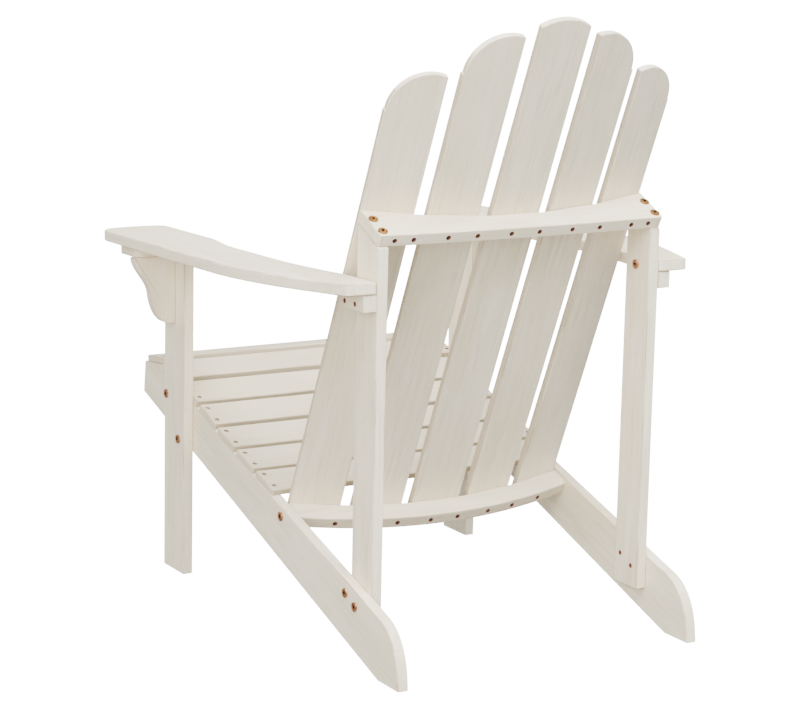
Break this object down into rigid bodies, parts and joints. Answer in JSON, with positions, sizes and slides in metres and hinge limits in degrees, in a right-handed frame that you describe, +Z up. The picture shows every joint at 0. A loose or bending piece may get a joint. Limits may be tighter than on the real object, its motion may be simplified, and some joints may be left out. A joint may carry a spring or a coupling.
{
  "type": "adirondack chair",
  "caption": "Adirondack chair of flat whitewashed boards, with a reclined fan-shaped slatted back, dished slatted seat and broad arms.",
  "frame": {"origin": "on the floor, below the middle of the chair's bounding box", "axes": "+Z up; the sitter looks towards -Y; +X is the sitter's left"},
  "size_m": [0.749, 0.883, 0.9734],
  "materials": {
    "whitewashed_wood": "hardwood under a thin warm off-white wash, satin, with faint grey-brown grain",
    "yellow_zinc_steel": "yellow zinc-plated steel, slightly dulled",
    "dark_screw_steel": "dark zinc-plated steel, dulled"
  },
  "bodies": {
    "root": {"side_rail_left": "whitewashed_wood", "side_rail_right": "whitewashed_wood", "front_leg_left": "whitewashed_wood", "front_leg_right": "whitewashed_wood", "rear_post_left": "whitewashed_wood", "rear_post_right": "whitewashed_wood", "upper_back_rail": "whitewashed_wood", "lower_back_rail": "whitewashed_wood", "back_slat_1": "whitewashed_wood", "back_slat_2": "whitewashed_wood", "back_slat_3": "whitewashed_wood", "back_slat_4": "whitewashed_wood", "back_slat_5": "whitewashed_wood", "seat_slat_1": "whitewashed_wood", "seat_slat_2": "whitewashed_wood", "seat_slat_3": "whitewashed_wood", "seat_slat_4": "whitewashed_wood", "seat_slat_5": "whitewashed_wood", "seat_slat_6": "whitewashed_wood", "seat_slat_7": "whitewashed_wood", "arm_left": "whitewashed_wood", "arm_right": "whitewashed_wood", "arm_bracket_left": "whitewashed_wood", "arm_bracket_right": "whitewashed_wood", "bracket_plate_left": "whitewashed_wood", "bracket_plate_right": "whitewashed_wood", "arm_cleat_left": "whitewashed_wood", "arm_cleat_right": "whitewashed_wood", "leg_bolts": "yellow_zinc_steel", "leg_bolt_nuts": "dark_screw_steel", "post_bolts": "yellow_zinc_steel", "post_bolt_nuts": "dark_screw_steel", "upper_rail_bolts": "yellow_zinc_steel", "lower_rail_bolts": "yellow_zinc_steel", "arm_bolts": "yellow_zinc_steel", "upper_rail_screws": "dark_screw_steel", "lower_rail_screws": "dark_screw_steel", "seat_screws": "dark_screw_steel", "cleat_screws": "dark_screw_steel", "bracket_screws": "dark_screw_steel", "plate_screws": "dark_screw_steel"}
  },
  "joints": []
}
